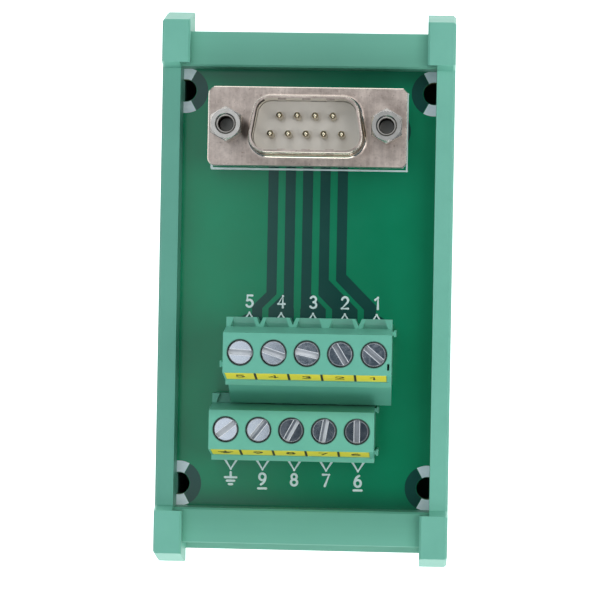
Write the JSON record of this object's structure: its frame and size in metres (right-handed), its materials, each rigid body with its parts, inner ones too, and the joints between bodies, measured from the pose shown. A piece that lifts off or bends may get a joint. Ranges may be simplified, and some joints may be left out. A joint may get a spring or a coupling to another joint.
{
  "type": "d-sub terminal block adapter",
  "caption": "Rail-mounted interface module that brings the pins of a male D-sub connector out to screw terminals in two stepped blocks.",
  "frame": {"origin": "centre of the module's outline, at the underside of the rail feet", "axes": "+Z out of the board towards the connectors, +Y across the rail towards the D-sub, +X along the rail"},
  "size_m": [0.0462, 0.0878, 0.051],
  "materials": {
    "carrier_plastic": "fine moulded satin, sea green",
    "latch_plastic": "fine moulded satin, sea green",
    "spring_steel": "bright spring strip",
    "board_laminate": "green solder mask over glass laminate",
    "shell_plating": "tin plating, slightly mottled",
    "insulator_plastic": "grey beige moulding",
    "pin_gold": "flash gold over brass",
    "jackscrew_plating": "bright nickel plating",
    "terminal_plastic": "moulded polyamide, sea green",
    "marker_yellow": "printed yellow strip",
    "tinned_copper": "tinned copper",
    "screw_zinc": "zinc plated, bright",
    "cage_zinc": "zinc plated"
  },
  "bodies": {
    "carrier": {"carrier_profile": "carrier_plastic", "end_plate_left": "carrier_plastic", "end_plate_right": "carrier_plastic", "latch_spring_left": "spring_steel", "latch_spring_right": "spring_steel", "circuit_board": "board_laminate", "dsub_front_shell": "shell_plating", "dsub_rear_shell": "shell_plating", "dsub_insulator": "insulator_plastic", "dsub_pins": "pin_gold", "jackscrew_left": "jackscrew_plating", "jackscrew_right": "jackscrew_plating", "board_lock_left": "jackscrew_plating", "board_lock_right": "jackscrew_plating", "terminal_housing_high": "terminal_plastic", "terminal_housing_low": "terminal_plastic", "marker_strip_high": "marker_yellow", "marker_strip_low": "marker_yellow", "contacts_high": "tinned_copper", "contacts_low": "tinned_copper"},
    "screw_high_1": {"clamp_screw_high_1": "screw_zinc"},
    "cage_high_1": {"clamp_cage_high_1": "cage_zinc"},
    "screw_high_2": {"clamp_screw_high_2": "screw_zinc"},
    "cage_high_2": {"clamp_cage_high_2": "cage_zinc"},
    "screw_high_3": {"clamp_screw_high_3": "screw_zinc"},
    "cage_high_3": {"clamp_cage_high_3": "cage_zinc"},
    "screw_high_4": {"clamp_screw_high_4": "screw_zinc"},
    "cage_high_4": {"clamp_cage_high_4": "cage_zinc"},
    "screw_high_5": {"clamp_screw_high_5": "screw_zinc"},
    "cage_high_5": {"clamp_cage_high_5": "cage_zinc"},
    "screw_low_1": {"clamp_screw_low_1": "screw_zinc"},
    "cage_low_1": {"clamp_cage_low_1": "cage_zinc"},
    "screw_low_2": {"clamp_screw_low_2": "screw_zinc"},
    "cage_low_2": {"clamp_cage_low_2": "cage_zinc"},
    "screw_low_3": {"clamp_screw_low_3": "screw_zinc"},
    "cage_low_3": {"clamp_cage_low_3": "cage_zinc"},
    "screw_low_4": {"clamp_screw_low_4": "screw_zinc"},
    "cage_low_4": {"clamp_cage_low_4": "cage_zinc"},
    "screw_low_5": {"clamp_screw_low_5": "screw_zinc"},
    "cage_low_5": {"clamp_cage_low_5": "cage_zinc"},
    "latch_left": {"rail_latch_left": "latch_plastic"},
    "latch_right": {"rail_latch_right": "latch_plastic"}
  },
  "joints": [
    {"name": "screw_high_1_turn", "type": "hinge", "parent": "carrier", "child": "screw_high_1", "pos_m": [-0.00901, -0.00997, 0.05], "axis": [0, 0, -1], "range_deg": [0, 1873]},
    {"name": "cage_high_1_rise", "type": "slide", "parent": "carrier", "child": "cage_high_1", "axis": [0, 0, 1], "range_m": [0, 0.0026]},
    {"name": "screw_high_2_turn", "type": "hinge", "parent": "carrier", "child": "screw_high_2", "pos_m": [-0.00393, -0.00997, 0.05], "axis": [0, 0, -1], "range_deg": [0, 1873]},
    {"name": "cage_high_2_rise", "type": "slide", "parent": "carrier", "child": "cage_high_2", "axis": [0, 0, 1], "range_m": [0, 0.0026]},
    {"name": "screw_high_3_turn", "type": "hinge", "parent": "carrier", "child": "screw_high_3", "pos_m": [0.00115, -0.00997, 0.05], "axis": [0, 0, -1], "range_deg": [0, 1873]},
    {"name": "cage_high_3_rise", "type": "slide", "parent": "carrier", "child": "cage_high_3", "axis": [0, 0, 1], "range_m": [0, 0.0026]},
    {"name": "screw_high_4_turn", "type": "hinge", "parent": "carrier", "child": "screw_high_4", "pos_m": [0.00623, -0.00997, 0.05], "axis": [0, 0, -1], "range_deg": [0, 1873]},
    {"name": "cage_high_4_rise", "type": "slide", "parent": "carrier", "child": "cage_high_4", "axis": [0, 0, 1], "range_m": [0, 0.0026]},
    {"name": "screw_high_5_turn", "type": "hinge", "parent": "carrier", "child": "screw_high_5", "pos_m": [0.01131, -0.00997, 0.05], "axis": [0, 0, -1], "range_deg": [0, 1873]},
    {"name": "cage_high_5_rise", "type": "slide", "parent": "carrier", "child": "cage_high_5", "axis": [0, 0, 1], "range_m": [0, 0.0026]},
    {"name": "screw_low_1_turn", "type": "hinge", "parent": "carrier", "child": "screw_low_1", "pos_m": [-0.01155, -0.02204, 0.043], "axis": [0, 0, -1], "range_deg": [0, 1873]},
    {"name": "cage_low_1_rise", "type": "slide", "parent": "carrier", "child": "cage_low_1", "axis": [0, 0, 1], "range_m": [0, 0.0026]},
    {"name": "screw_low_2_turn", "type": "hinge", "parent": "carrier", "child": "screw_low_2", "pos_m": [-0.00647, -0.02204, 0.043], "axis": [0, 0, -1], "range_deg": [0, 1873]},
    {"name": "cage_low_2_rise", "type": "slide", "parent": "carrier", "child": "cage_low_2", "axis": [0, 0, 1], "range_m": [0, 0.0026]},
    {"name": "screw_low_3_turn", "type": "hinge", "parent": "carrier", "child": "screw_low_3", "pos_m": [-0.00139, -0.02204, 0.043], "axis": [0, 0, -1], "range_deg": [0, 1873]},
    {"name": "cage_low_3_rise", "type": "slide", "parent": "carrier", "child": "cage_low_3", "axis": [0, 0, 1], "range_m": [0, 0.0026]},
    {"name": "screw_low_4_turn", "type": "hinge", "parent": "carrier", "child": "screw_low_4", "pos_m": [0.00369, -0.02204, 0.043], "axis": [0, 0, -1], "range_deg": [0, 1873]},
    {"name": "cage_low_4_rise", "type": "slide", "parent": "carrier", "child": "cage_low_4", "axis": [0, 0, 1], "range_m": [0, 0.0026]},
    {"name": "screw_low_5_turn", "type": "hinge", "parent": "carrier", "child": "screw_low_5", "pos_m": [0.00877, -0.02204, 0.043], "axis": [0, 0, -1], "range_deg": [0, 1873]},
    {"name": "cage_low_5_rise", "type": "slide", "parent": "carrier", "child": "cage_low_5", "axis": [0, 0, 1], "range_m": [0, 0.0026]},
    {"name": "latch_left_pull", "type": "slide", "parent": "carrier", "child": "latch_left", "axis": [0, -1, 0], "range_m": [0, 0.003], "stiffness_N_per_m": 400, "springref_m": -0.003, "deforming": ["latch_spring_left"]},
    {"name": "latch_right_pull", "type": "slide", "parent": "carrier", "child": "latch_right", "axis": [0, -1, 0], "range_m": [0, 0.003], "stiffness_N_per_m": 400, "springref_m": -0.003, "deforming": ["latch_spring_right"]}
  ],
  "couplings": [
    {"joint": "screw_high_1_turn", "follows": "cage_high_1_rise", "rad_per_m": 12566},
    {"joint": "screw_high_2_turn", "follows": "cage_high_2_rise", "rad_per_m": 12566},
    {"joint": "screw_high_3_turn", "follows": "cage_high_3_rise", "rad_per_m": 12566},
    {"joint": "screw_high_4_turn", "follows": "cage_high_4_rise", "rad_per_m": 12566},
    {"joint": "screw_high_5_turn", "follows": "cage_high_5_rise", "rad_per_m": 12566},
    {"joint": "screw_low_1_turn", "follows": "cage_low_1_rise", "rad_per_m": 12566},
    {"joint": "screw_low_2_turn", "follows": "cage_low_2_rise", "rad_per_m": 12566},
    {"joint": "screw_low_3_turn", "follows": "cage_low_3_rise", "rad_per_m": 12566},
    {"joint": "screw_low_4_turn", "follows": "cage_low_4_rise", "rad_per_m": 12566},
    {"joint": "screw_low_5_turn", "follows": "cage_low_5_rise", "rad_per_m": 12566}
  ]
}
